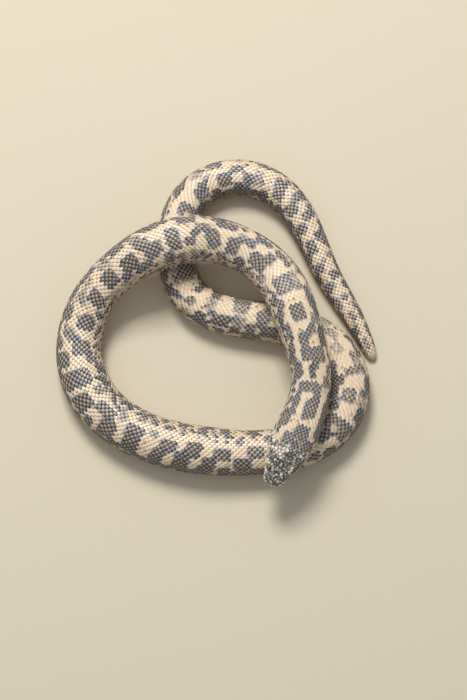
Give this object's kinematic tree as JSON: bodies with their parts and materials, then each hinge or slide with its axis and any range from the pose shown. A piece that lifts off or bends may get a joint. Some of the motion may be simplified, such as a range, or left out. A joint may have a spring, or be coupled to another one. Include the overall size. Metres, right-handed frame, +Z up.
{
  "type": "coiled sand boa",
  "caption": "Life-size still model of a javelin sand boa lying in a loose coil on the floor, its head resting across its own body.",
  "frame": {"origin": "middle of the coil's outline, on the floor under the belly", "axes": "+Z up, the head points towards -Y, +X to the right when the head is nearest the viewer"},
  "size_m": [0.0952, 0.1006, 0.0227],
  "materials": {
    "scales": "dry matt scales with a soft sheen, dark blotches on sandy cream",
    "eye": "wet gloss over a grey-gold iris with an upright pupil"
  },
  "bodies": {
    "root": {"head": "scales", "lower_jaw": "scales", "eye_left": "eye", "eye_right": "eye", "neck": "scales", "trunk_1": "scales", "trunk_2": "scales", "trunk_3": "scales", "trunk_4": "scales", "trunk_5": "scales", "trunk_6": "scales", "trunk_7": "scales", "trunk_8": "scales", "trunk_9": "scales", "tail": "scales"}
  },
  "joints": []
}
